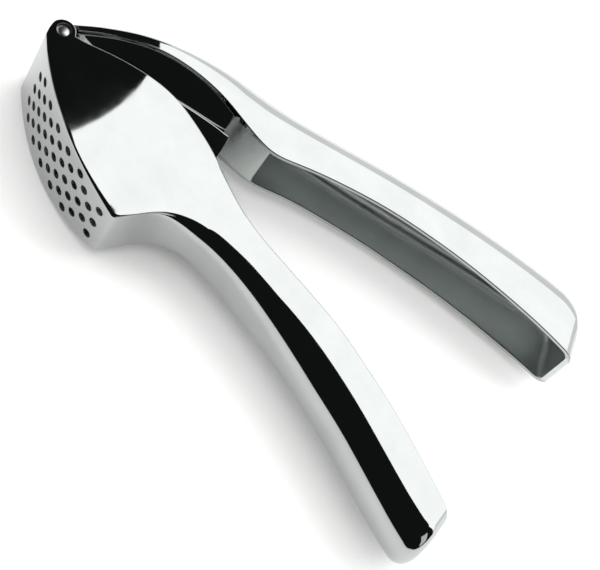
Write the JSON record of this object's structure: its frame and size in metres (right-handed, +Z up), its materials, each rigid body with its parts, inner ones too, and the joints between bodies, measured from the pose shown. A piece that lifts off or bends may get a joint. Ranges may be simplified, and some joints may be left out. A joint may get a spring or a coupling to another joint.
{
  "type": "garlic press",
  "caption": "Cast metal garlic press: a hopper with a curved perforated face and a handle, and a hinged lever that presses a plunger into it.",
  "frame": {"origin": "under the middle of the press's box, on the surface that its side rests on", "axes": "+X along the handles away from the pivot, +Y from the perforated face towards the lever, +Z up along the pivot pin"},
  "size_m": [0.1698, 0.1, 0.029],
  "materials": {
    "chrome_plate": "bright chrome plate on a zinc die casting",
    "pin_steel": "plain polished stainless steel"
  },
  "bodies": {
    "frame": {"hopper_body": "chrome_plate", "pivot_pin": "pin_steel"},
    "lever": {"lever": "chrome_plate", "plunger": "chrome_plate", "plunger_dowel": "pin_steel"}
  },
  "joints": [
    {"name": "lever_hinge", "type": "hinge", "parent": "frame", "child": "lever", "pos_m": [-0.08142, -0.00142, 0.0145], "axis": [0, 0, 1], "range_deg": [-16, 72]}
  ]
}
